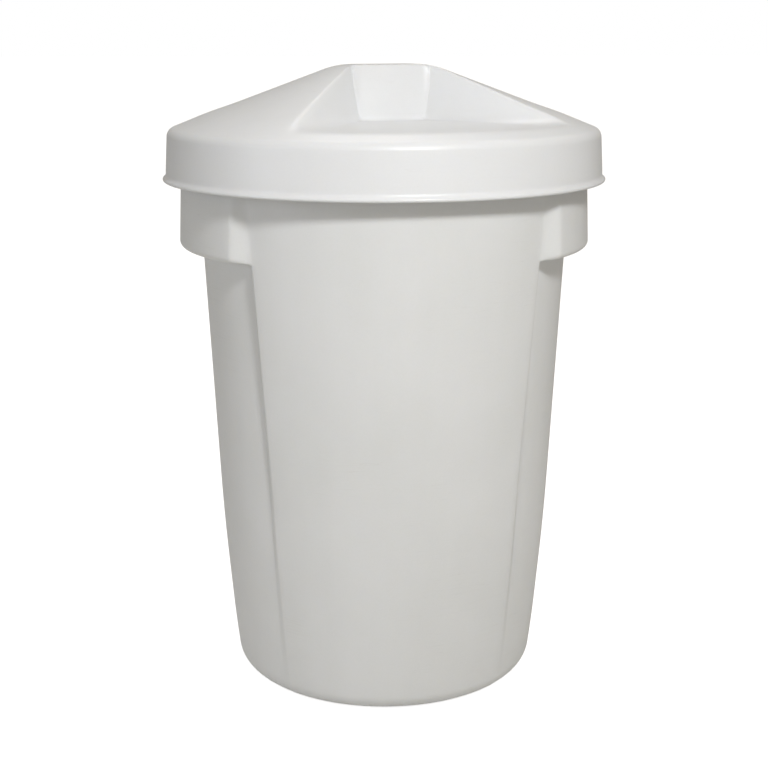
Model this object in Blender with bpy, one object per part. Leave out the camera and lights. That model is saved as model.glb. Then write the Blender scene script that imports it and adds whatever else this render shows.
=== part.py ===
"""Round plastic drum with moulded side grips and a lift-off lid.

Units are metres. The drum stands on Z = 0 with its axis on Z, its two grips on +X and -X,
and its plain front and back panels facing -Y and +Y.
"""

from math import atan, atan2, cos, degrees, hypot, pi, radians, sin

import bmesh
import bpy

# Drum body
WALL = 0.0036               # moulded wall
FOOT_INNER = 0.118          # the foot is a flat ring round a shallow recess
FOOT_RECESS = 0.004
BASE_RADIUS = 0.1735        # where the wall's line would meet the floor
BASE_FILLET = 0.025
KNEE_Z = 0.050              # the wall leans out a little more below this height
KNEE_RADIUS = 0.1799
WAIST_Z = 0.184
WAIST_RADIUS = 0.1913
LEDGE_Z = 0.506             # underside of the side grips
FLUTE_RADIUS = 0.2068       # recessed side wall just under the grips
STEP_LOW = 0.0006           # the panels stand proud of the side walls, more towards the top
STEP_HIGH = 0.0110
GRIP_RADIUS = 0.2328        # outer face of the side grips, at their lower edge
GRIP_LEAN = -0.041          # the grips' face leans this far outwards for each metre of height
GRIP_ROUND = 0.0065         # rounded lower edge of the grips
LEDGE_FILLET = 0.004
PANEL_HALF_LOW = 43.5       # degrees from a panel's middle to its edge
PANEL_HALF_HIGH = 45.6
PANEL_TURNS_Z = 0.25        # the panels widen from LOW to HIGH above this height
STEP_HALF = 1.7             # half the width, in degrees, of the step at that edge
GRIP_HALF = 46.5            # degrees from a panel's middle to the middle of a grip's end face
GRIP_END_HALF = 2.9
RIM_TOP = 0.6342
RIM_RADIUS = 0.2376
RIM_HEIGHT = 0.010
RIM_ROUND = 0.004
RIM_FILLET = 0.003
RIM_BEAD = 0.0024           # rounding of the rim's lower edge
GRIP_TOP = 0.604
GRIP_MIDDLE = 0.560

# Lid
LID_WALL = 0.0032
LID_TURN = 15.0             # degrees the finger scoops are turned from the drum's front
CROWN_Z = 0.7057            # flat top of the grip bar
CROWN_RADIUS = 0.0526
CONE_FALL = 0.370           # metres the cone falls for each metre outwards
CONE_BULGE = 0.0009         # the cone is fuller by this much near the shoulder
CONE_BULGE_RADIUS = 0.200
CONE_BULGE_HALF = 0.038
SHOULDER_ROUND = 0.011
SKIRT_RADIUS = 0.2438       # just under the shoulder
SKIRT_FOOT_Z = 0.591
SKIRT_FOOT_RADIUS = 0.2460
LIP_RADIUS = 0.2497
LIP_Z = 0.579
LIP_ROUND = 0.0022
BAR_HALF_WIDTH = 0.0225
BAR_ROUND = 0.0035
BAR_LEAN = 8.0              # degrees the upper part of the bar's face leans back
BAR_WAIST_Z = 0.6705        # the face turns nearly upright below this height
BAR_WAIST_OUT = 0.0052      # distance of that turn and of the foot from the bar's outline
BAR_FOOT_OUT = 0.0056
BAR_FILLET = 0.0050
SCOOP_FLOOR = 0.6445        # level floor of the scoops, which runs out into the cone
FLOOR_SOFT = 0.0015         # half the height over which it runs out
RIDGE_START = 0.0440        # ridge over a scoop's side wall: its distance from the middle of the
RIDGE_END = 45.6            # bar, and its angle from the scoop's middle at the end of the cone
RIDGE_ROUND = 0.0055
WALL_FOOT_START = 0.0370    # the foot of that side wall, in the same way
WALL_FOOT_END = 35.5
WALL_HOLLOW = 2.4           # how hollow the side walls are: 1 would be flat
FLOOR_COLUMNS = 5           # faces across half a scoop's floor, a side wall and a quarter cone
WALL_COLUMNS = 6
CONE_COLUMNS = 6
FLOOR_RINGS = 7             # faces along a scoop, up to and across the end of its floor
RUN_OUT_RINGS = 6

PLASTIC = (0.84, 0.84, 0.825, 1.0)


def clear_scene():
    for obj in list(bpy.data.objects):
        bpy.data.objects.remove(obj, do_unlink=True)


def smooth(t):
    t = min(max(t, 0.0), 1.0)
    return t * t * (3.0 - 2.0 * t)


def mix(a, b, t):
    return a + (b - a) * t


def plastic(name):
    material = bpy.data.materials.new(name)
    material.use_nodes = True
    shader = material.node_tree.nodes["Principled BSDF"]
    shader.inputs["Base Color"].default_value = PLASTIC
    shader.inputs["Roughness"].default_value = 0.42
    shader.inputs["Metallic"].default_value = 0.0
    return material


def arc(centre, radius, start, end, steps):
    """Points on a circular arc, with both angles in degrees."""
    angles = [radians(mix(start, end, i / steps)) for i in range(steps + 1)]
    return [(centre[0] + radius * cos(a), centre[1] + radius * sin(a)) for a in angles]


def offset(points, distance):
    """The section moved sideways by distance, to the left of its direction of travel."""
    moved = []
    last = len(points) - 1
    for i, (r, z) in enumerate(points):
        before = points[max(i - 1, 0)]
        after = points[min(i + 1, last)]
        first = atan2(z - before[1], r - before[0]) if i else None
        second = atan2(after[1] - z, after[0] - r) if i < last else None
        if first is None:
            first = second
        if second is None:
            second = first
        turn = (second - first + pi) % (2 * pi) - pi
        lean = first + turn / 2
        reach = distance / max(cos(turn / 2), 0.5)
        moved.append((max(r - reach * sin(lean), 0.0), z + reach * cos(lean)))
    return moved


def flute_radius(z):
    """Outer radius of the recessed side walls."""
    if z < KNEE_Z:
        return mix(BASE_RADIUS, KNEE_RADIUS, z / KNEE_Z)
    if z < WAIST_Z:
        return mix(KNEE_RADIUS, WAIST_RADIUS, (z - KNEE_Z) / (WAIST_Z - KNEE_Z))
    return mix(WAIST_RADIUS, FLUTE_RADIUS, (z - WAIST_Z) / (LEDGE_Z - WAIST_Z))


def panel_radius(z):
    """Outer radius of the front and back panels."""
    rise = max((z - BASE_FILLET) / (LEDGE_Z - BASE_FILLET), 0.0)
    return flute_radius(z) + mix(STEP_LOW, STEP_HIGH, rise)


def grip_radius(z):
    return GRIP_RADIUS + GRIP_LEAN * (z - LEDGE_Z)


def base_section(radius_at):
    """Outside of the base, from the axis to the end of the rounded edge."""
    lean = atan2(radius_at(KNEE_Z) - radius_at(0.0), KNEE_Z)
    centre = radius_at(BASE_FILLET) - BASE_FILLET / cos(lean)
    inner = FOOT_INNER - FOOT_RECESS
    points = [(0.0, FOOT_RECESS), (inner / 2, FOOT_RECESS), (inner, FOOT_RECESS)]
    points.append((FOOT_INNER, 0.0))
    points += arc((centre, BASE_FILLET), BASE_FILLET, -90.0, -degrees(lean), 5)
    return points


def even(start, end, steps):
    """Even steps from start up to, and not with, end."""
    return [mix(start, end, i / steps) for i in range(steps)]


def wall_heights():
    """Heights of the wall's sections, from the knee up to just below the grips."""
    below_ledge = LEDGE_Z - 0.026
    return even(KNEE_Z, WAIST_Z, 2) + even(WAIST_Z, below_ledge, 4) + [below_ledge]


def panel_section():
    """Outside of a panel, from the axis under the base up to the rim."""
    points = base_section(panel_radius)
    heights = wall_heights() + even(LEDGE_Z - 2 * LEDGE_FILLET, LEDGE_Z, 3)
    heights += even(LEDGE_Z, LEDGE_Z + GRIP_ROUND, 4) + [GRIP_MIDDLE, GRIP_TOP]
    points += [(panel_radius(z), z) for z in heights]
    return points


def side_section():
    """Outside of a side wall, its ledge and its grip, with as many points as a panel."""
    points = base_section(flute_radius)
    points += [(flute_radius(z), z) for z in wall_heights()]
    inner = flute_radius(LEDGE_Z) + LEDGE_FILLET
    points += arc((inner, LEDGE_Z - LEDGE_FILLET), LEDGE_FILLET, 180.0, 90.0, 2)
    outer = grip_radius(LEDGE_Z + GRIP_ROUND) - GRIP_ROUND
    points += arc((outer, LEDGE_Z + GRIP_ROUND), GRIP_ROUND, -90.0, 0.0, 3)
    points += [(grip_radius(z), z) for z in (GRIP_MIDDLE, GRIP_TOP)]
    return points


def rim_section(outer, inner):
    """Rounded rim flange, from the outer wall over the top to the inner wall."""
    under = RIM_TOP - RIM_HEIGHT
    points = arc((outer[0] + RIM_FILLET, under - RIM_FILLET), RIM_FILLET, 150.0, 90.0, 1)
    points += arc((RIM_RADIUS - RIM_BEAD, under + RIM_BEAD), RIM_BEAD, -90.0, 0.0, 2)
    points += arc((RIM_RADIUS - RIM_ROUND, RIM_TOP - RIM_ROUND), RIM_ROUND, 0.0, 90.0, 3)
    points += arc((inner[0] + RIM_FILLET, RIM_TOP - RIM_FILLET), RIM_FILLET, 90.0, 180.0, 2)
    return points


def whole_section(outer):
    """A closed section: outside, rim, and the inside one wall thickness in."""
    inner = offset(outer, WALL)
    return outer + rim_section(outer[-1], inner[-1]) + inner[::-1]


def panel_edge(z):
    """Middle and half width, in degrees, of the band between a panel and a side at height z."""
    rise = min(max((z - PANEL_TURNS_Z) / (LEDGE_Z - PANEL_TURNS_Z), 0.0), 1.0)
    if z < LEDGE_Z - LEDGE_FILLET:
        return mix(PANEL_HALF_LOW, PANEL_HALF_HIGH, rise), STEP_HALF
    return GRIP_HALF, GRIP_END_HALF


def quadrant_columns(panel_steps, edge_steps, side_steps):
    """Columns of a quarter turn from a panel's middle to a grip's middle: (zone, share)."""
    columns = [("panel", i / panel_steps) for i in range(panel_steps)]
    columns += [("edge", i / edge_steps) for i in range(edge_steps)]
    columns += [("side", i / side_steps) for i in range(side_steps)]
    return columns


def column_angle(column, z):
    """Degrees from the panel's middle, and how far the column belongs to the side (0 to 1)."""
    zone, share = column
    middle, half = panel_edge(z)
    if zone == "panel":
        return share * (middle - half), 0.0
    if zone == "edge":
        return middle - half + 2 * half * share, smooth(share)
    return mix(middle + half, 90.0, share), 1.0


def around(columns):
    """The columns of a full turn: (column, quadrant, direction)."""
    turn = []
    for quadrant in range(4):
        if quadrant % 2 == 0:
            turn += [(column, quadrant * 90.0, 1.0) for column in columns]
        else:
            back = [("side", 1.0)] + columns[:0:-1]
            turn += [(column, (quadrant + 1) * 90.0, -1.0) for column in back]
    return turn


def closed_loft(rings, name, material):
    """One closed body from rings of points. The first and last rings are single points."""
    mesh = bmesh.new()
    first = mesh.verts.new(rings[0][0])
    last = mesh.verts.new(rings[-1][0])
    loops = [[mesh.verts.new(point) for point in ring] for ring in rings[1:-1]]
    count = len(loops[0])
    for i in range(count):
        j = (i + 1) % count
        mesh.faces.new((first, loops[0][j], loops[0][i]))
        mesh.faces.new((last, loops[-1][i], loops[-1][j]))
        for lower, upper in zip(loops, loops[1:]):
            mesh.faces.new((lower[i], lower[j], upper[j], upper[i]))
    data = bpy.data.meshes.new(name)
    mesh.to_mesh(data)
    mesh.free()
    data.shade_smooth()
    data.set_sharp_from_angle(angle=radians(38))
    data.materials.append(material)
    obj = bpy.data.objects.new(name, data)
    bpy.context.scene.collection.objects.link(obj)
    return obj


def drum():
    """The open drum: two panels, two recessed side walls, two grips and the rim, one moulding."""
    panel = whole_section(panel_section())
    side = whole_section(side_section())
    turn = around(quadrant_columns(6, 3, 6))
    rings = []
    for (panel_r, panel_z), (side_r, side_z) in zip(panel, side):
        ring = []
        for column, base, direction in turn:
            turned, share = column_angle(column, side_z)
            angle = radians(base + direction * turned)
            r = mix(panel_r, side_r, share)
            ring.append((r * sin(angle), -r * cos(angle), mix(panel_z, side_z, share)))
        rings.append(ring)
    return closed_loft(rings, "drum", plastic("drum_plastic"))


def lid_height(r):
    """Top surface of the lid before the scoops are sunk into it."""
    bulge = 1.0 - smooth(abs(r - CONE_BULGE_RADIUS) / CONE_BULGE_HALF)
    return CROWN_Z - CONE_FALL * max(r - CROWN_RADIUS, 0.0) + CONE_BULGE * bulge


def ease(gap, reach):
    """The gap where it is positive and 0 elsewhere, with the corner between them rounded."""
    if abs(gap) >= reach:
        return max(gap, 0.0)
    return (gap + reach) ** 2 / (4.0 * reach)


def cone_end():
    """Radius at which the cone runs into the shoulder's rounding."""
    return SKIRT_RADIUS - SHOULDER_ROUND * (1.0 - sin(atan(CONE_FALL)))


def wall_line(start, end, w):
    """Distance along the bar, at w away from it, of a line from start to the angle end."""
    end_u = cone_end() * sin(radians(end))
    end_w = cone_end() * cos(radians(end))
    return mix(start, end_u, (w - BAR_HALF_WIDTH) / (end_w - BAR_HALF_WIDTH))


def scoop_height(u, w):
    """Height in a scoop: a level floor that runs out into the cone, between two hollow walls."""
    top = lid_height(hypot(u, w))
    ridge = wall_line(RIDGE_START, RIDGE_END, w)
    foot = wall_line(WALL_FOOT_START, WALL_FOOT_END, w)
    down = min(ease(ridge - abs(u), RIDGE_ROUND) / (ridge - foot), 1.0)
    share = 1.0 - (1.0 - down) ** WALL_HOLLOW
    return top - share * ease(top - SCOOP_FLOOR, FLOOR_SOFT)


def bar_rings():
    """Rings round the bar: (distance from its outline, share of the scoop's depth)."""
    rings = [(-BAR_HALF_WIDTH / 2, 0.0)]
    foot_z = SCOOP_FLOOR + BAR_FILLET
    face = arc((-BAR_ROUND, CROWN_Z - BAR_ROUND), BAR_ROUND, 90.0, BAR_LEAN, 3)
    face.append((BAR_WAIST_OUT, BAR_WAIST_Z))
    face += arc((BAR_FOOT_OUT + BAR_FILLET, foot_z), BAR_FILLET, 180.0, 270.0, 3)
    rings += [(out, (CROWN_Z - z) / (CROWN_Z - SCOOP_FLOOR)) for out, z in face]
    near = face[-1][0]
    reach = cone_end() - BAR_HALF_WIDTH
    rings += [(mix(near, reach, share), 1.0) for share in even(0.0, 0.8, FLOOR_RINGS)[1:]]
    rings += [(mix(near, reach, share), 1.0) for share in even(0.8, 1.0, RUN_OUT_RINGS)]
    return rings + [(reach, 1.0)]


def lid_columns():
    """A quarter of the lid's columns: (point on the bar's outline, degrees at the cone's end)."""
    columns = []
    for share in even(0.0, 1.0, FLOOR_COLUMNS):
        columns.append(((WALL_FOOT_START * share, BAR_HALF_WIDTH), WALL_FOOT_END * share))
    for down in even(1.0, 0.0, WALL_COLUMNS):
        share = 1.0 - down ** 1.5
        along = mix(WALL_FOOT_START, RIDGE_START, share)
        columns.append(((along, BAR_HALF_WIDTH), mix(WALL_FOOT_END, RIDGE_END, share)))
    corner = hypot(RIDGE_START, BAR_HALF_WIDTH)
    start = atan2(RIDGE_START, BAR_HALF_WIDTH)
    for share in even(0.0, 1.0, CONE_COLUMNS):
        angle = mix(start, pi / 2, share)
        columns.append(((corner * sin(angle), corner * cos(angle)), mix(RIDGE_END, 90.0, share)))
    return columns


def lid_point(column, ring):
    """One point of the lid's top, in the scoop's own frame: (u, w, z)."""
    (u0, w0), end = column
    distance, cut = ring
    if distance < 0.0:
        scale = 1.0 + distance / BAR_HALF_WIDTH
        u, w = u0 * scale, w0 * scale
    else:
        share = distance / (cone_end() - BAR_HALF_WIDTH)
        u = mix(u0, cone_end() * sin(radians(end)), share)
        w = mix(w0, cone_end() * cos(radians(end)), share)
    return u, w, mix(lid_height(hypot(u, w)), scoop_height(u, w), cut)


def skirt_section():
    """Outside of the lid from the shoulder down to the lip: (radius, height)."""
    lean = atan(CONE_FALL)
    radius = SKIRT_RADIUS - SHOULDER_ROUND
    height = lid_height(radius) - SHOULDER_ROUND / cos(lean)
    points = arc((radius, height), SHOULDER_ROUND, 90.0 - degrees(lean), 0.0, 4)[1:]
    points.append((SKIRT_FOOT_RADIUS, SKIRT_FOOT_Z))
    points += arc((LIP_RADIUS - LIP_ROUND, LIP_Z + LIP_ROUND), LIP_ROUND, 60.0, -90.0, 3)
    return points


def lid():
    """The lid: a cone with two finger scoops that leave a grip bar, and a deep skirt."""
    quarter = lid_columns()
    outline = []
    for quadrant in range(4):
        if quadrant % 2 == 0:
            outline += [(column, quadrant) for column in quarter]
        else:
            corner = hypot(RIDGE_START, BAR_HALF_WIDTH)
            back = [((corner, 0.0), 90.0)] + quarter[:0:-1]
            outline += [(column, quadrant) for column in back]
    signs = ((1.0, 1.0), (1.0, -1.0), (-1.0, -1.0), (-1.0, 1.0))
    turn = radians(LID_TURN)

    def placed(u, w, z):
        # u runs along the bar, and w away from it, out of the scoop that faces the front
        return u * cos(turn) + w * sin(turn), u * sin(turn) - w * cos(turn), z

    outer = [[placed(0.0, 0.0, CROWN_Z)]]
    for ring in bar_rings():
        points = []
        for column, quadrant in outline:
            along, away = signs[quadrant]
            u, w, z = lid_point(column, ring)
            points.append(placed(u * along, w * away, z))
        outer.append(points)
    for r, z in skirt_section():
        points = []
        for (_, end), quadrant in outline:
            along, away = signs[quadrant]
            a = radians(end)
            points.append(placed(r * sin(a) * along, r * cos(a) * away, z))
        outer.append(points)
    mesh = bmesh.new()
    pole = mesh.verts.new(outer[0][0])
    loops = [[mesh.verts.new(point) for point in ring] for ring in outer[1:]]
    count = len(loops[0])
    for i in range(count):
        j = (i + 1) % count
        mesh.faces.new((pole, loops[0][i], loops[0][j]))
        for upper, lower in zip(loops, loops[1:]):
            mesh.faces.new((upper[j], upper[i], lower[i], lower[j]))
    data = bpy.data.meshes.new("lid")
    mesh.to_mesh(data)
    mesh.free()
    data.shade_smooth()
    data.set_sharp_from_angle(angle=radians(38))
    data.materials.append(plastic("lid_plastic"))
    obj = bpy.data.objects.new("lid", data)
    bpy.context.scene.collection.objects.link(obj)
    shell = obj.modifiers.new("Wall", "SOLIDIFY")
    shell.thickness = LID_WALL
    shell.offset = -1.0
    shell.use_even_offset = True
    return obj


clear_scene()
drum()
lid()
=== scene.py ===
from math import atan2, cos, hypot, pi, radians, sin

import bmesh
import bpy
import numpy as np
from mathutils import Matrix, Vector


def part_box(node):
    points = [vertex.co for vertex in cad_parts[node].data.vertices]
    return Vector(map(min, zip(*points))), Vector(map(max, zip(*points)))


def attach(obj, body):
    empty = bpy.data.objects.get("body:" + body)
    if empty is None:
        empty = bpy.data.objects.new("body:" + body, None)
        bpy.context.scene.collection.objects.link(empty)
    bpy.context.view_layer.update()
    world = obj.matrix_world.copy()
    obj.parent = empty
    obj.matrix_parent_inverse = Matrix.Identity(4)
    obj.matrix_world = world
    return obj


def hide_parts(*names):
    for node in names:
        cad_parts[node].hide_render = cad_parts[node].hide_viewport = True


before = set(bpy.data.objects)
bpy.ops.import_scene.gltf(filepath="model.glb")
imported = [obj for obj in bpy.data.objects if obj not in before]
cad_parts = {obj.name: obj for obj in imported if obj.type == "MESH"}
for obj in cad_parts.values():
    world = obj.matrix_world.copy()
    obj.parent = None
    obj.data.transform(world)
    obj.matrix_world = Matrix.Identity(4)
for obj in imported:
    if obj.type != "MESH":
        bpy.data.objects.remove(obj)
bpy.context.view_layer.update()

# ---------------------------------------------------------------------------------------------
# Drum body. One polyethylene moulding: a tapered wall with a plain front and back panel, two
# recessed side walls, a hollow grip bulged out under the rim on each side, and a thick rim.
# Its section changes round the axis, so it is lofted from two turned sections, panel and side.
# ---------------------------------------------------------------------------------------------
drum_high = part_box("drum")[1]
rim_top = drum_high.z
rim_radius = drum_high.x
drum_wall = 0.0036
foot_inner = 0.118
foot_recess = 0.004
foot_round = 0.002
gate_radius = 0.011
gate_depth = 0.0009
base_radius = 0.1735
base_fillet = 0.025
base_slope = 0.128
# (height, slope above it, half the height over which the slope changes)
wall_bends = ((0.050, 0.0851, 0.030), (0.184, 0.0481, 0.050))
ledge_z = 0.506
ledge_fillet = 0.004
step_low = 0.0006
step_high = 0.0110
panel_half_low = 43.5
panel_half_high = 45.6
panel_half_starts = 0.25
step_half = 1.7
grip_half = 46.5
grip_end_half = 2.9
grip_radius_low = 0.2328
grip_lean = -0.041
grip_round = 0.0065
grip_top = 0.604
rim_height = 0.010
rim_round = 0.004
rim_fillet = 0.003


def mix(a, b, t):
    return a + (b - a) * t


def smooth(t):
    t = min(max(t, 0.0), 1.0)
    return t * t * (3.0 - 2.0 * t)


def flute_radius(z):
    """Outer radius of the recessed side walls: straight stretches with softened bends."""
    radius = base_radius + base_slope * z
    slope = base_slope
    for bend_z, next_slope, half in wall_bends:
        past = z - bend_z
        ramp = max(past, 0.0) if abs(past) > half else (past + half) ** 2 / (4 * half)
        radius += (next_slope - slope) * ramp
        slope = next_slope
    return radius


def panel_radius(z):
    """Outer radius of the panels, which stand further out the higher they go."""
    rise = min(max((z - base_fillet) / (ledge_z - base_fillet), 0.0), 1.25)
    return flute_radius(z) + mix(step_low, step_high, rise)


def grip_radius(z):
    return grip_radius_low + grip_lean * (z - ledge_z)


def arc(centre, radius, start, end, steps):
    """Points on a circular arc, with both angles in degrees."""
    angles = [radians(mix(start, end, i / steps)) for i in range(steps + 1)]
    return [(centre[0] + radius * cos(a), centre[1] + radius * sin(a)) for a in angles]


def spread(start, end, steps):
    """Even steps from start up to, and not with, end."""
    return [mix(start, end, i / steps) for i in range(steps)]


def offset(points, distance):
    """The section moved sideways by distance, to the left of its direction of travel."""
    moved = []
    last = len(points) - 1
    for i, (r, z) in enumerate(points):
        before = points[max(i - 1, 0)]
        after = points[min(i + 1, last)]
        second = atan2(after[1] - z, after[0] - r) if i < last else None
        first = atan2(z - before[1], r - before[0]) if i else second
        second = first if second is None else second
        turn = (second - first + pi) % (2 * pi) - pi
        lean = first + turn / 2
        reach = distance / max(cos(turn / 2), 0.5)
        moved.append((max(r - reach * sin(lean), 0.0), z + reach * cos(lean)))
    return moved


def base_section(radius_at):
    """Underside from the axis out: the moulding's gate mark, the recess, the foot, the edge."""
    knee_z = wall_bends[0][0]
    lean = atan2(radius_at(knee_z) - radius_at(0.0), knee_z)
    centre = radius_at(base_fillet) - base_fillet / cos(lean)
    gate_roof = foot_recess + gate_depth
    points = [(0.0, gate_roof - 0.0016), (0.0016, gate_roof - 0.0015), (0.0024, gate_roof)]
    points += [(gate_radius - 0.001, gate_roof), (gate_radius, foot_recess)]
    points += [(r, foot_recess) for r in spread(gate_radius + 0.001, foot_inner - 0.010, 5)]
    points += arc((foot_inner - 0.008, foot_recess - foot_round), foot_round, 90.0, 45.0, 2)
    points += arc((foot_inner + 0.001, foot_round), foot_round, -135.0, -90.0, 2)
    points += [(r, 0.0) for r in spread(foot_inner + 0.010, centre, 2)]
    return points + arc((centre, base_fillet), base_fillet, -90.0, -lean * 180 / pi, 12)


heights_below = spread(0.034, 0.470, 26) + spread(0.470, ledge_z - ledge_fillet, 8)
heights_above = spread(ledge_z + grip_round + 0.003, grip_top, 12) + [grip_top]
ledge_steps, round_steps = 5, 9


def panel_section():
    """Outside of a panel, with as many points as the side has, up to the rim."""
    heights = heights_below + spread(ledge_z - ledge_fillet, ledge_z - 0.001, ledge_steps + 1)
    heights += spread(ledge_z - 0.0008, ledge_z + grip_round, round_steps + 1) + heights_above
    return base_section(panel_radius) + [(panel_radius(z), z) for z in heights]


def side_section():
    """Outside of a side wall, of the ledge over it and of the grip, up to the rim."""
    points = base_section(flute_radius) + [(flute_radius(z), z) for z in heights_below]
    inner = flute_radius(ledge_z) + ledge_fillet
    points += arc((inner, ledge_z - ledge_fillet), ledge_fillet, 180.0, 90.0, ledge_steps)
    outer = grip_radius(ledge_z + grip_round) - grip_round
    points += arc((outer, ledge_z + grip_round), grip_round, -90.0, 0.0, round_steps)
    return points + [(grip_radius(z), z) for z in heights_above]


def rim_section(outer, inner):
    """The rim's flange, from the outside of the wall over the top to the inside."""
    under = rim_top - rim_height
    bead = rim_round * 0.6
    points = arc((outer[0] + rim_fillet, under - rim_fillet), rim_fillet, 180.0, 90.0, 4)
    points += arc((rim_radius - bead, under + bead), bead, -90.0, 0.0, 5)
    points += arc((rim_radius - rim_round, rim_top - rim_round), rim_round, 0.0, 90.0, 7)
    points += arc((inner[0] + rim_fillet, rim_top - rim_fillet), rim_fillet, 90.0, 180.0, 5)
    return points


def whole_section(outer):
    """The closed section: outside, rim, and the inside one wall's thickness in."""
    inner = offset(outer, drum_wall)
    return outer + rim_section(outer[-1], inner[-1]) + inner[::-1]


def panel_edge(z):
    """Middle and half width, in degrees, of the band where a panel turns into a side."""
    rise = min(max((z - panel_half_starts) / (ledge_z - panel_half_starts), 0.0), 1.0)
    under_grip = smooth((z - ledge_z + ledge_fillet) / ledge_fillet)
    middle = mix(mix(panel_half_low, panel_half_high, rise), grip_half, under_grip)
    return middle, mix(step_half, grip_end_half, under_grip)


class Nodes:
    """A node tree under construction. Values and sockets can both be handed to an input."""

    def __init__(self, tree):
        self.tree = tree

    def face(self, name, side, kind, default=None):
        socket = self.tree.interface.new_socket(name=name, in_out=side, socket_type=kind)
        if default is not None:
            socket.default_value = default

    def put(self, socket, value):
        if isinstance(value, bpy.types.NodeSocket):
            self.tree.links.new(value, socket)
        elif value is not None:
            socket.default_value = value

    def node(self, kind, *values, out=0, **settings):
        made = self.tree.nodes.new(kind)
        for name, value in settings.items():
            setattr(made, name, value)
        for socket, value in zip([s for s in made.inputs if s.enabled], values):
            self.put(socket, value)
        return [s for s in made.outputs if s.enabled][out]

    def math(self, operation, *values):
        return self.node("ShaderNodeMath", *values, operation=operation)

    def share(self, value, start, end, low=0.0, high=1.0, interpolation="LINEAR"):
        """low where the value is at start or before it, high at end and after."""
        kind = "ShaderNodeMapRange"
        return self.node(kind, value, start, end, low, high, interpolation_type=interpolation)

    def mix(self, a, b, t):
        return self.math("MULTIPLY_ADD", self.math("SUBTRACT", b, a), t, a)


def loft_tree():
    """Lofts a closed skin from two sections, given as attributes on a row of points."""
    t = Nodes(bpy.data.node_groups.new("two_section_loft", "GeometryNodeTree"))
    t.face("Sections", "INPUT", "NodeSocketGeometry")
    for name, default in (("Rows", 2), ("Panel Columns", 20), ("Edge Columns", 8), ("Side Columns", 20)):
        t.face(name, "INPUT", "NodeSocketInt", default)
    t.face("Material", "INPUT", "NodeSocketMaterial")
    t.face("Skin", "OUTPUT", "NodeSocketGeometry")
    sections, rows, panel, edge, side, material = t.tree.nodes.new("NodeGroupInput").outputs[:6]
    quarter = t.math("ADD", t.math("ADD", panel, edge), side)
    across = t.math("MULTIPLY_ADD", quarter, 4.0, 1.0)
    grid = t.node("GeometryNodeMeshGrid", 1.0, 1.0, rows, across)
    index = t.node("GeometryNodeInputIndex")
    row = t.math("FLOOR", t.math("DIVIDE", t.math("ADD", index, 0.5), across))
    column = t.math("SUBTRACT", index, t.math("MULTIPLY", row, across))
    numbers = {}
    for name in ("panel_r", "panel_z", "side_r", "side_z", "edge_middle", "edge_half"):
        value = t.node("GeometryNodeInputNamedAttribute", name)
        numbers[name] = t.node("GeometryNodeSampleIndex", sections, value, row)
    # every second quarter runs backwards, from a grip's middle to the next panel's middle
    turn = t.math("MINIMUM", t.math("FLOOR", t.math("DIVIDE", column, quarter)), 3.0)
    into = t.math("SUBTRACT", column, t.math("MULTIPLY", turn, quarter))
    odd = t.math("MODULO", turn, 2.0)
    local = t.mix(into, t.math("SUBTRACT", quarter, into), odd)
    edge_end = t.math("ADD", panel, edge)
    start = t.math("SUBTRACT", numbers["edge_middle"], numbers["edge_half"])
    end = t.math("ADD", numbers["edge_middle"], numbers["edge_half"])
    degrees = t.math("MULTIPLY", t.share(local, 0.0, panel), start)
    in_edge = t.share(local, panel, edge_end)
    degrees = t.math("MULTIPLY_ADD", in_edge, t.math("SUBTRACT", end, start), degrees)
    in_side = t.share(local, edge_end, quarter)
    degrees = t.math("MULTIPLY_ADD", in_side, t.math("SUBTRACT", 90.0, end), degrees)
    side_share = t.share(local, panel, edge_end, interpolation="SMOOTHSTEP")
    base = t.math("MULTIPLY", t.math("ADD", turn, odd), 90.0)
    sign = t.math("MULTIPLY_ADD", odd, -2.0, 1.0)
    angle = t.math("RADIANS", t.math("MULTIPLY_ADD", degrees, sign, base))
    radius = t.mix(numbers["panel_r"], numbers["side_r"], side_share)
    height = t.mix(numbers["panel_z"], numbers["side_z"], side_share)
    x = t.math("MULTIPLY", radius, t.math("SINE", angle))
    y = t.math("MULTIPLY", radius, t.math("MULTIPLY", t.math("COSINE", angle), -1.0))
    place = t.node("ShaderNodeCombineXYZ", x, y, height)
    skin = t.node("GeometryNodeSetPosition", grid, True, place)
    skin = t.node("GeometryNodeMergeByDistance", skin, True, None, 2e-6)
    skin = t.node("GeometryNodeSetShadeSmooth", skin, True, True)
    skin = t.node("GeometryNodeRealizeInstances", skin)
    skin = t.node("GeometryNodeSetMaterial", skin, True, material)
    t.put(t.tree.nodes.new("NodeGroupOutput").inputs[0], skin)
    return t.tree


def scuffs(g, position, turn, stretch, wanted):
    """Fine hairlines that run one way: a stretched noise, kept only where it crosses a level."""
    along = g.node("ShaderNodeMapping", position, None, (0.0, turn, turn * 0.7), stretch)
    streaks = g.node("ShaderNodeTexNoise", along, 1.0, 2.0, 0.5)
    line = g.math("ABSOLUTE", g.math("SUBTRACT", streaks, 0.5))
    patches = g.node("ShaderNodeTexNoise", position, 7.0, 2.0, 0.5)
    here = g.share(patches, 0.52, 0.66)
    return g.math("MULTIPLY", g.math("MULTIPLY", g.share(line, 0.006, 0.0), here), wanted)


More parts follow.
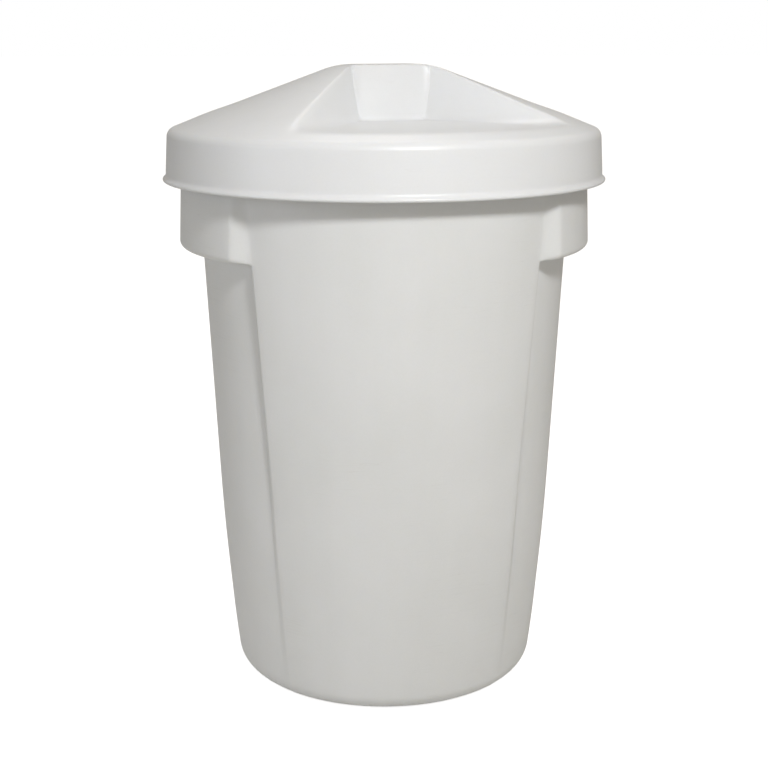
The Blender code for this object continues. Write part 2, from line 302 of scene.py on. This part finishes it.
def moulded_surface():
    """Shader group shared by both plastics: cloudy tone, flow marks, grain, scuffs, wear, and painted shade
    with some grime in inner corners.
    """
    g = Nodes(bpy.data.node_groups.new("moulded_surface", "ShaderNodeTree"))
    g.face("Colour", "INPUT", "NodeSocketColor")
    g.face("Deeper Colour", "INPUT", "NodeSocketColor")
    g.face("Grime and Shade Colour", "INPUT", "NodeSocketColor")
    for name, default in (("Roughness", 0.4), ("Flow", 1.0), ("Scuffs", 1.0), ("Lumps", 1.0)):
        g.face(name, "INPUT", "NodeSocketFloat", default)
    g.face("Colour", "OUTPUT", "NodeSocketColor")
    g.face("Roughness", "OUTPUT", "NodeSocketFloat")
    g.face("Height", "OUTPUT", "NodeSocketFloat")
    given = g.tree.nodes.new("NodeGroupInput").outputs
    colour, deeper, grime_and_shade_colour, roughness, flow, scuffed, lumps = given[:7]
    position = g.node("ShaderNodeTexCoord", out=3)
    worn = g.node("ShaderNodeAttribute", attribute_name="worn", out=2)
    grime_and_shade = g.node("ShaderNodeAttribute", attribute_name="grime_and_shade", out=2)

    cloud = g.node("ShaderNodeTexNoise", position, 6.5, 3.0, 0.55)
    drawn = g.node("ShaderNodeMapping", position, None, None, (24.0, 24.0, 2.4))
    flowed = g.node("ShaderNodeTexNoise", drawn, 1.0, 3.0, 0.5)
    fleck = g.node("ShaderNodeTexNoise", position, 420.0, 2.0, 0.6)
    peel = g.node("ShaderNodeTexNoise", position, 75.0, 2.0, 0.5)
    lump = g.node("ShaderNodeTexNoise", position, 9.0, 1.0, 0.5)
    hairlines = g.math("ADD", scuffs(g, position, 0.5, (3.0, 3.0, 90.0), scuffed),
                       scuffs(g, position, 1.1, (5.0, 5.0, 140.0), scuffed))

    tone = g.math("MULTIPLY_ADD", g.math("SUBTRACT", flowed, 0.5), flow, cloud)
    tone = g.math("MULTIPLY_ADD", g.math("SUBTRACT", fleck, 0.5), 0.35, tone)
    deep = g.share(tone, 0.30, 0.75)
    out = g.node("ShaderNodeMix", deep, colour, deeper, data_type="RGBA", out=0)
    # Painted shade: inner corners and creases are darkened, in patches, toward a warm brown, with some
    # grime; scuff hairlines take a little of the same colour.
    shade_and_scuffs = g.math("MULTIPLY", grime_and_shade, g.share(cloud, 0.3, 0.6, 0.45, 1.0))
    shade_and_scuffs = g.math("MULTIPLY_ADD", hairlines, 0.25, shade_and_scuffs)
    out = g.node("ShaderNodeMix", shade_and_scuffs, out, grime_and_shade_colour, data_type="RGBA", out=0)

    rough = g.math("MULTIPLY_ADD", g.math("SUBTRACT", cloud, 0.5), 0.16, roughness)
    rough = g.math("MULTIPLY_ADD", g.math("SUBTRACT", flowed, 0.5), 0.10, rough)
    rough = g.math("MULTIPLY_ADD", worn, -0.07, rough)
    rough = g.math("MULTIPLY_ADD", shade_and_scuffs, 0.20, rough)

    height = g.math("MULTIPLY", g.math("MULTIPLY", lump, lumps), 0.0011)
    height = g.math("MULTIPLY_ADD", flowed, 0.00006, height)
    height = g.math("MULTIPLY_ADD", peel, 0.00005, height)
    height = g.math("MULTIPLY_ADD", fleck, 0.000012, height)
    height = g.math("MULTIPLY_ADD", hairlines, -0.00002, height)
    outputs = g.tree.nodes.new("NodeGroupOutput").inputs
    for socket, value in zip(outputs, (out, rough, height)):
        g.put(socket, value)
    return g.tree


surface = moulded_surface()


def polyethylene(name, colour, deeper, roughness, flow, scuffed, lumps):
    """Satin, slightly translucent moulded polyethylene."""
    material = bpy.data.materials.new(name)
    material.use_nodes = True
    m = Nodes(material.node_tree)
    skin = m.tree.nodes.new("ShaderNodeGroup")
    skin.node_tree = surface
    # The third colour is the brown of the painted shade, with some grime, in inner corners; scuffs take a
    # little of it too.
    values = (colour, deeper, (0.43, 0.39, 0.32, 1.0), roughness, flow, scuffed, lumps)
    for socket, value in zip(skin.inputs, values):
        socket.default_value = value
    shader = m.tree.nodes["Principled BSDF"]
    m.put(shader.inputs["Base Color"], skin.outputs["Colour"])
    m.put(shader.inputs["Roughness"], skin.outputs["Roughness"])
    m.put(shader.inputs["Normal"], m.node("ShaderNodeBump", 1.0, 1.0, None, skin.outputs["Height"]))
    shader.inputs["IOR"].default_value = 1.52
    shader.inputs["Subsurface Weight"].default_value = 0.12
    shader.inputs["Subsurface Radius"].default_value = (1.0, 0.8, 0.55)
    shader.inputs["Subsurface Scale"].default_value = 0.012
    return material


def plain_mesh(name, source):
    """The object's evaluated shape as a mesh object of its own; the source is removed."""
    bpy.context.view_layer.update()
    graph = bpy.context.evaluated_depsgraph_get()
    data = bpy.data.meshes.new_from_object(source.evaluated_get(graph))
    data.name = name
    bpy.data.objects.remove(source)
    made = bpy.data.objects.new(name, data)
    bpy.context.scene.collection.objects.link(made)
    return made


def face_outwards(obj):
    """Merges doubled points and turns every face outwards."""
    mesh = bmesh.new()
    mesh.from_mesh(obj.data)
    bmesh.ops.remove_doubles(mesh, verts=mesh.verts, dist=1e-6)
    bmesh.ops.recalc_face_normals(mesh, faces=mesh.faces)
    mesh.to_mesh(obj.data)
    mesh.free()
    obj.data.shade_smooth()


def mark_wear_and_shade(obj, sharp, hollow):
    """Masks on the mesh: worn on rounded outer edges, and painted shade with some grime in inner corners.

    sharp and hollow are the curvatures, per metre, from which each mask starts and is full.
    """
    data = obj.data
    count = len(data.vertices)
    place = np.empty(count * 3)
    data.vertices.foreach_get("co", place)
    place = place.reshape(-1, 3)
    normal = np.empty(count * 3)
    data.vertices.foreach_get("normal", normal)
    normal = normal.reshape(-1, 3)
    ends = np.empty(len(data.edges) * 2, np.int64)
    data.edges.foreach_get("vertices", ends)
    start, end = ends.reshape(-1, 2).T
    along = place[end] - place[start]
    length = np.maximum((along ** 2).sum(1), 1e-9)
    total, weight = np.zeros(count), np.zeros(count)
    for here, way in ((start, -1.0), (end, 1.0)):
        bend = 2.0 * way * (along * normal[here]).sum(1) / length
        total += np.bincount(here, np.clip(bend, -900.0, 900.0), count)
        weight += np.bincount(here, None, count)
    curve = total / np.maximum(weight, 1.0)
    for _ in range(3):
        near = np.bincount(start, curve[end], count) + np.bincount(end, curve[start], count)
        curve = 0.5 * curve + 0.5 * near / np.maximum(weight, 1.0)
    # The concave mask marks where painted shade, with some grime, darkens inner corners.
    for name, sense, (first, full) in (("worn", 1.0, sharp), ("grime_and_shade", -1.0, hollow)):
        mask = np.clip((curve * sense - first) / (full - first), 0.0, 1.0)
        data.attributes.new(name, "FLOAT", "POINT").data.foreach_set("value", mask)


drum_plastic = polyethylene("drum_polyethylene", (0.835, 0.840, 0.836, 1.0), (0.795, 0.802, 0.792, 1.0),
                            0.42, 0.5, 0.3, 1.0)
panel_rows = whole_section(panel_section())
side_rows = whole_section(side_section())
section = bpy.data.meshes.new("drum_section")
section.from_pydata([(r, 0.0, z) for r, z in side_rows], [], [])
bands = [panel_edge(z) for r, z in side_rows]
section_values = {
    "panel_r": [r for r, z in panel_rows],
    "panel_z": [z for r, z in panel_rows],
    "side_r": [r for r, z in side_rows],
    "side_z": [z for r, z in side_rows],
    "edge_middle": [middle for middle, half in bands],
    "edge_half": [half for middle, half in bands],
}
for name, values in section_values.items():
    section.attributes.new(name, "FLOAT", "POINT").data.foreach_set("value", values)
drum_source = bpy.data.objects.new("drum_source", section)
bpy.context.scene.collection.objects.link(drum_source)
loft = drum_source.modifiers.new("Loft", "NODES")
loft.node_group = loft_tree()
loft_inputs = {s.name: s.identifier for s in loft.node_group.interface.items_tree if s.in_out == "INPUT"}
loft[loft_inputs["Rows"]] = len(side_rows)
loft[loft_inputs["Panel Columns"]] = 24
loft[loft_inputs["Edge Columns"]] = 12
loft[loft_inputs["Side Columns"]] = 24
loft[loft_inputs["Material"]] = drum_plastic
drum = plain_mesh("drum_body", drum_source)
face_outwards(drum)
# The last pair sets where the painted shade in inner corners starts and where it is full.
mark_wear_and_shade(drum, (45.0, 320.0), (45.0, 260.0))
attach(drum, "drum")
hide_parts("drum")

# ---------------------------------------------------------------------------------------------
# Lid. One polyethylene moulding that lies loose on the rim: a low cone with a flat crown, sunk
# on two opposite sides by finger scoops, so that a hollow grip bar is left between them, then a
# rounded shoulder, a deep skirt and a flared lip.
# ---------------------------------------------------------------------------------------------
lid_low, lid_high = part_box("lid")
crown_z = lid_high.z
lip_z = lid_low.z
lip_radius = lid_high.x
lip_round = 0.0022
lid_wall = 0.0032
lid_turn = 15.0
crown_radius = 0.0526
crown_round = 0.016
cone_fall = 0.370
cone_bulge = 0.0009
cone_bulge_radius = 0.200
cone_bulge_half = 0.038
shoulder_round = 0.011
skirt_top_radius = 0.2438
skirt_foot_z = 0.591
skirt_foot_radius = 0.2460
bar_half_width = 0.0225
bar_round = 0.0035
bar_face_lean = 8.0         # degrees the bar's face leans back above its waist
bar_waist_z = 0.6705
bar_waist_out = 0.0052
bar_crease = 0.0004         # the face is drawn in this much just above the waist
bar_foot_out = 0.0056
bar_fillet = 0.0050
# ridge and foot of a scoop's side wall: place along the bar, and degrees at the cone's end
ridge_start = 0.0420
ridge_end = 45.6
ridge_round = 0.0055
wall_foot_start = 0.0315
wall_foot_end = 35.5
wall_hollow = 3.2           # how hollow the side walls are: 1 would be flat
scoop_floor = 0.6445        # the level floor runs out into the cone
floor_soft = 0.0032
scoop_rings = 78
floor_columns = 26
wall_columns = 22
cone_columns = 26


def lid_height(r):
    """The lid's top before the scoops: a slightly full cone with a softened, flat crown."""
    past = r - crown_radius
    ramp = max(past, 0.0) if abs(past) > crown_round else (past + crown_round) ** 2 / (4 * crown_round)
    bulge = 1.0 - smooth(abs(r - cone_bulge_radius) / cone_bulge_half)
    return crown_z - cone_fall * ramp + cone_bulge * bulge


def ease(gap, reach):
    """The gap where it is positive and 0 elsewhere, with the corner between them rounded."""
    return max(gap, 0.0) if abs(gap) >= reach else (gap + reach) ** 2 / (4.0 * reach)


cone_lean = atan2(cone_fall, 1.0)
cone_end = skirt_top_radius - shoulder_round * (1.0 - sin(cone_lean))


def wall_line(start, end, w):
    """How far along the bar a line is at w: from start at the bar to the angle end at the cone's end."""
    end_u, end_w = cone_end * sin(radians(end)), cone_end * cos(radians(end))
    return mix(start, end_u, (w - bar_half_width) / (end_w - bar_half_width))


def scoop_height(u, w, r):
    """Height in the scoop: a level floor that runs out into the cone, between two hollow walls."""
    ridge, foot = wall_line(ridge_start, ridge_end, w), wall_line(wall_foot_start, wall_foot_end, w)
    down = min(ease(ridge - abs(u), ridge_round) / (ridge - foot), 1.0)
    share = 1.0 - (1.0 - down) ** wall_hollow
    return lid_height(r) - share * ease(lid_height(r) - scoop_floor, floor_soft)


def bar_rings():
    """Rings round the bar: (distance from its outline, share of the scoop's depth)."""
    rings = [(-bar_half_width * s, 0.0) for s in (0.92, 0.75, 0.55, 0.35, 0.22)]
    face = arc((-bar_round, crown_z - bar_round), bar_round, 90.0, bar_face_lean, 8)
    top_out, top_z = face[-1]
    for share, crease in ((0.3, 0.0), (0.6, 0.0), (0.95, bar_crease)):
        out = mix(top_out, bar_waist_out, share) - crease
        face.append((out, mix(top_z, bar_waist_z, share)))
    foot_z = scoop_floor + bar_fillet
    face += [(mix(bar_waist_out, bar_foot_out, s), mix(bar_waist_z, foot_z, s)) for s in (0.1, 0.5)]
    face += arc((bar_foot_out + bar_fillet, foot_z), bar_fillet, 180.0, 270.0, 8)
    rings += [(out, (crown_z - z) / (crown_z - scoop_floor)) for out, z in face]
    near, reach = face[-1][0], cone_end - bar_half_width
    return rings + [(mix(near, reach, i / scoop_rings), 1.0) for i in range(1, scoop_rings + 1)]


def lid_columns():
    """A quarter of the lid's columns: (point on the bar's outline, degrees at the cone's end)."""
    columns = []
    for share in spread(0.0, 1.0, floor_columns):
        columns.append(((wall_foot_start * share, bar_half_width), wall_foot_end * share))
    for i in range(wall_columns):
        share = 1.0 - (1.0 - i / wall_columns) ** 1.5
        along = mix(wall_foot_start, ridge_start, share)
        columns.append(((along, bar_half_width), mix(wall_foot_end, ridge_end, share)))
    corner = hypot(ridge_start, bar_half_width)
    start = atan2(ridge_start, bar_half_width)
    for i in range(cone_columns):
        share = (i / cone_columns) ** 1.3
        angle = mix(start, pi / 2, share)
        columns.append(((corner * sin(angle), corner * cos(angle)), mix(ridge_end, 90.0, share)))
    return columns


def lid_point(column, ring):
    """A point of the lid's top: (along the bar, away from it, height)."""
    (u0, w0), degrees = column
    distance, cut = ring
    u1, w1 = cone_end * sin(radians(degrees)), cone_end * cos(radians(degrees))
    if distance < 0.0:
        scale = 1.0 + distance / bar_half_width
        u, w = u0 * scale, w0 * scale
    else:
        share = distance / (cone_end - bar_half_width)
        u, w = mix(u0, u1, share), mix(w0, w1, share)
    r = hypot(u, w)
    return u, w, mix(lid_height(r), scoop_height(u, w, r), cut)


def skirt_section():
    """Outside of the lid from the shoulder's rounding down to the lip."""
    radius = skirt_top_radius - shoulder_round
    centre = (radius, lid_height(radius) - shoulder_round / cos(cone_lean))
    points = arc(centre, shoulder_round, 90.0 - cone_lean * 180 / pi, 2.0, 12)[1:]
    for i in range(1, 9):
        points.append((mix(skirt_top_radius, skirt_foot_radius, i / 8), mix(centre[1], skirt_foot_z, i / 8)))
    points += arc((skirt_foot_radius + 0.006, skirt_foot_z - 0.003), 0.006, 178.0, 235.0, 5)
    points += arc((lip_radius - lip_round, lip_z + lip_round), lip_round, 30.0, -90.0, 7)
    return points


quarter = lid_columns()
outline = []
for quadrant in range(4):
    if quadrant % 2 == 0:
        outline += [(column, quadrant) for column in quarter]
    else:
        last = ((hypot(ridge_start, bar_half_width), 0.0), 90.0)
        outline += [(column, quadrant) for column in [last] + quarter[:0:-1]]
signs = ((1.0, 1.0), (1.0, -1.0), (-1.0, -1.0), (-1.0, 1.0))
turned = radians(lid_turn)


def placed(u, w, z):
    """From the scoop's own directions to the drum's."""
    return u * cos(turned) + w * sin(turned), u * sin(turned) - w * cos(turned), z


rows = []
for ring in bar_rings():
    row = []
    for column, quadrant in outline:
        along, away = signs[quadrant]
        u, w, z = lid_point(column, ring)
        row.append(placed(u * along, w * away, z))
    rows.append(row)
for r, z in skirt_section():
    row = []
    for (point, degrees), quadrant in outline:
        along, away = signs[quadrant]
        a = radians(degrees)
        row.append(placed(r * sin(a) * along, r * cos(a) * away, z))
    rows.append(row)
mesh = bmesh.new()
pole = mesh.verts.new((0.0, 0.0, crown_z))
loops = [[mesh.verts.new(point) for point in row] for row in rows]
count = len(loops[0])
for i in range(count):
    j = (i + 1) % count
    mesh.faces.new((pole, loops[0][i], loops[0][j]))
    for upper, lower in zip(loops, loops[1:]):
        mesh.faces.new((upper[j], upper[i], lower[i], lower[j]))
skin = bpy.data.meshes.new("lid_skin")
mesh.to_mesh(skin)
mesh.free()
lid_source = bpy.data.objects.new("lid_source", skin)
bpy.context.scene.collection.objects.link(lid_source)
shell = lid_source.modifiers.new("Wall", "SOLIDIFY")
shell.thickness = lid_wall
shell.offset = -1.0
shell.use_even_offset = True
lid = plain_mesh("lid_shell", lid_source)
lid.data.shade_smooth()
# The last pair sets where the painted shade in inner corners starts and where it is full.
mark_wear_and_shade(lid, (45.0, 320.0), (90.0, 520.0))
lid.data.materials.append(polyethylene("lid_polyethylene", (0.845, 0.852, 0.862, 1.0),
                                       (0.810, 0.818, 0.825, 1.0), 0.38, 0.3, 0.35, 0.8))
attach(lid, "lid")
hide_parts("lid")

# ---------------------------------------------------------------------------------------------
# Studio: a pale floor, soft light and the camera. None of it is part of the drum.
# ---------------------------------------------------------------------------------------------
floor_reach = 40.0
floor_colour = (0.74, 0.732, 0.715, 1.0)
backdrop_glow = 0.84        # what the eye sees of the lit backdrop, on top of the floor's own light
backdrop_sky = 1.0

floor_data = bpy.data.meshes.new("floor")
corners = [(x * floor_reach, y * floor_reach) for x, y in ((-1, -1), (1, -1), (1, 1), (-1, 1))]
floor_data.from_pydata([(x, y, -0.0005) for x, y in corners], [], [(0, 1, 2, 3)])
floor = bpy.data.objects.new("floor", floor_data)
bpy.context.scene.collection.objects.link(floor)
pale = bpy.data.materials.new("pale_floor")
pale.use_nodes = True
p = Nodes(pale.node_tree)
floor_shader = p.tree.nodes["Principled BSDF"]
floor_shader.inputs["Base Color"].default_value = floor_colour
floor_shader.inputs["Roughness"].default_value = 0.9
floor_shader.inputs["Specular IOR Level"].default_value = 0.1
floor_shader.inputs["Emission Color"].default_value = (1.0, 1.0, 1.0, 1.0)
seen = p.node("ShaderNodeLightPath", out=0)
p.put(floor_shader.inputs["Emission Strength"], p.math("MULTIPLY", seen, backdrop_glow))
floor_data.materials.append(pale)


def softbox(name, azimuth, elevation, distance, size, watts, colour):
    """A round area light aimed at the drum's upper half. Azimuth 0 is in front of it."""
    a, e = radians(azimuth), radians(elevation)
    light = bpy.data.objects.new(name, bpy.data.lights.new(name, "AREA"))
    light.data.shape = "DISK"
    light.data.size = size
    light.data.energy = watts
    light.data.color = colour
    target = (0.0, 0.0, 0.45)
    back = (sin(a) * cos(e), -cos(a) * cos(e), sin(e))
    light.location = [target[i] + back[i] * distance for i in range(3)]
    light.rotation_euler = (pi / 2 - e, 0.0, a)
    bpy.context.scene.collection.objects.link(light)


softbox("key", 11.0, 34.2, 1.75, 0.26, 15.0, (1.0, 1.0, 1.0))
softbox("left_side", -70.0, 12.0, 3.0, 1.2, 8.6, (0.82, 0.88, 1.0))
softbox("high_back", 180.0, 62.0, 3.0, 1.4, 13.0, (1.0, 0.98, 0.97))

world = bpy.data.worlds.new("studio")
world.use_nodes = True
w = Nodes(world.node_tree)
sky = w.tree.nodes["Background"]
seen = w.node("ShaderNodeLightPath", out=0)
w.put(sky.inputs["Color"], w.node("ShaderNodeMix", seen, (1.0, 0.95, 0.86, 1.0), (1.0, 1.0, 1.0, 1.0),
                                  data_type="RGBA", out=0))
w.put(sky.inputs["Strength"], w.share(seen, 0.0, 1.0, 0.35, backdrop_sky))
bpy.context.scene.world = world
bpy.context.scene.view_settings.view_transform = "Standard"

camera = bpy.data.objects.new("camera", bpy.data.cameras.new("camera"))
camera.data.sensor_width = 36.0
camera.data.lens = 67.47
camera_turn = radians(-5.0)
camera.location = (1.6505 * sin(camera_turn), -1.6505 * cos(camera_turn), 0.7427)
camera.rotation_euler = (radians(90.0 - 13.823), 0.0, camera_turn)
bpy.context.scene.collection.objects.link(camera)
bpy.context.scene.camera = camera
